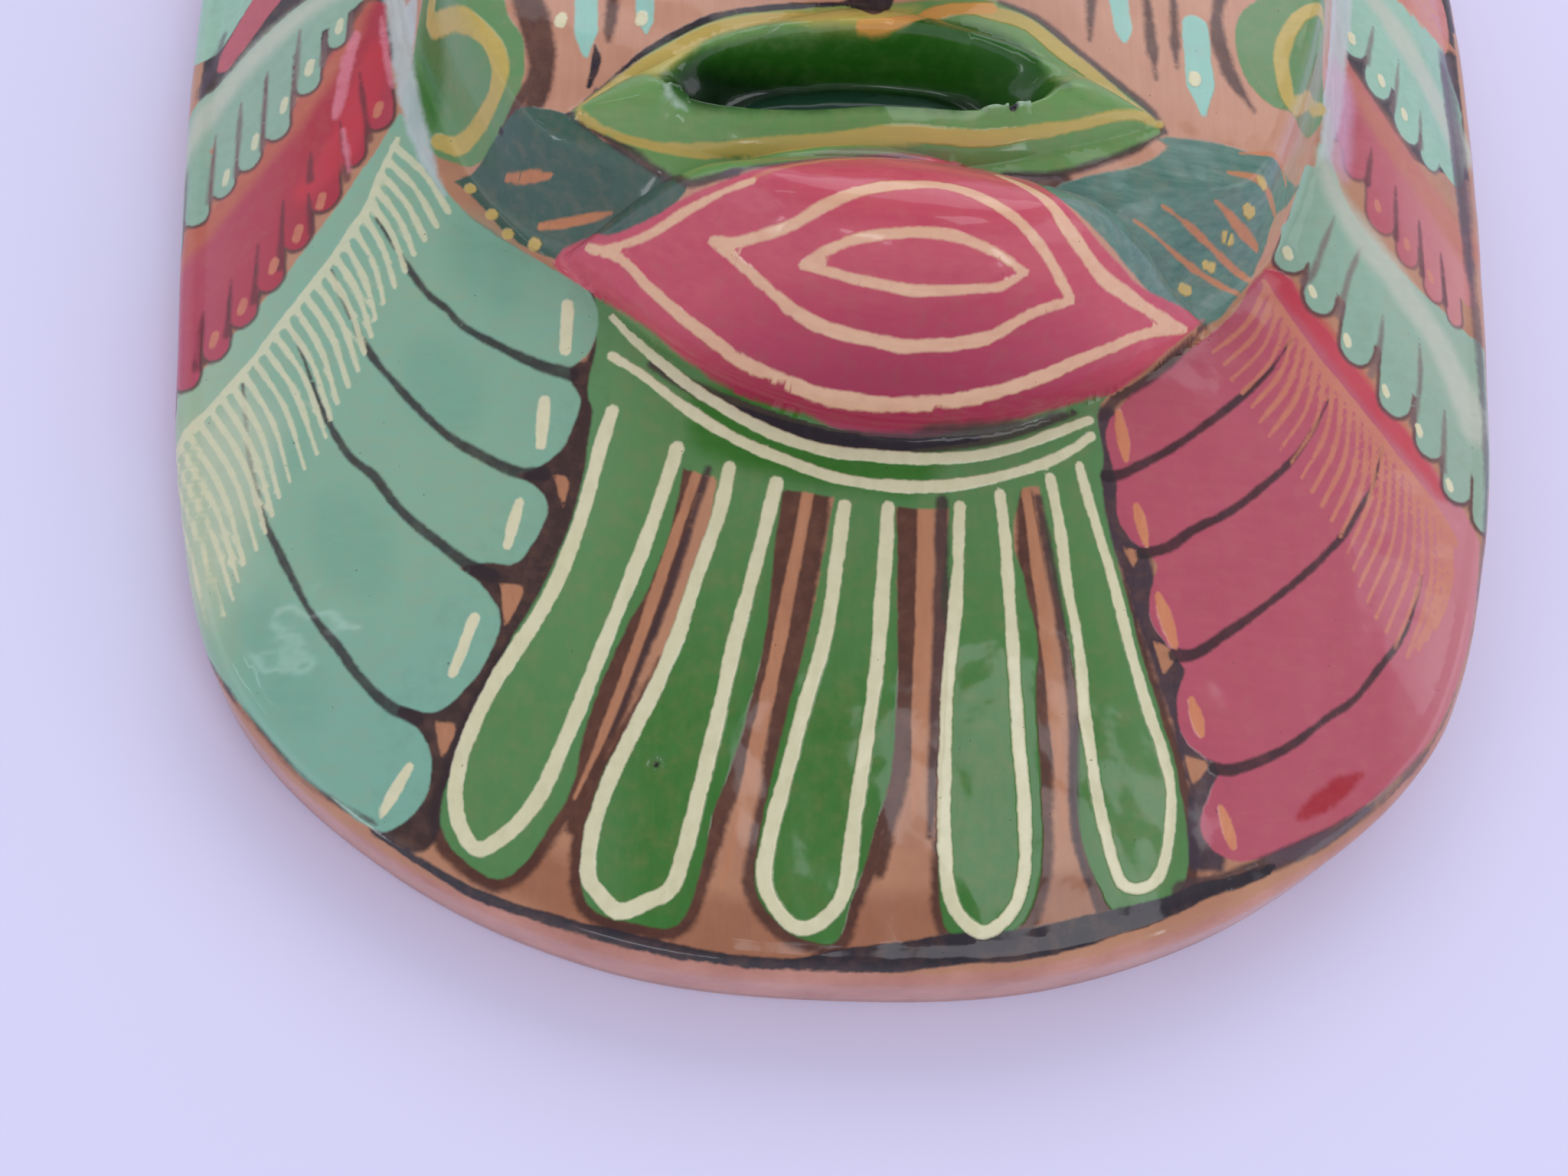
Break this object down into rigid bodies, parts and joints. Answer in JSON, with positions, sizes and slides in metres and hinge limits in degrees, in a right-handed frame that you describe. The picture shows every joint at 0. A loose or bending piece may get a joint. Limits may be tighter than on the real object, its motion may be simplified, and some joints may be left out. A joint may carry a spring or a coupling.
{
  "type": "terracotta mask",
  "caption": "Hollow clay wall mask: a raised calm face with parted lips and a jutting chin on a wide domed collar, painted with feathers and leaves, open and flat-rimmed behind.",
  "frame": {"origin": "centre of the flat back rim's box, on the surface that the mask lies on", "axes": "+X to the right of the face as it is looked at, +Y from chin to forehead, +Z out of the face"},
  "size_m": [0.1682, 0.22, 0.064],
  "materials": {
    "painted_terracotta": "fired terracotta, hand painted in green, mint, red, pink, ochre and cream under a clear gloss varnish, bare on the side and back"
  },
  "bodies": {
    "root": {"mask": "painted_terracotta"}
  },
  "joints": []
}
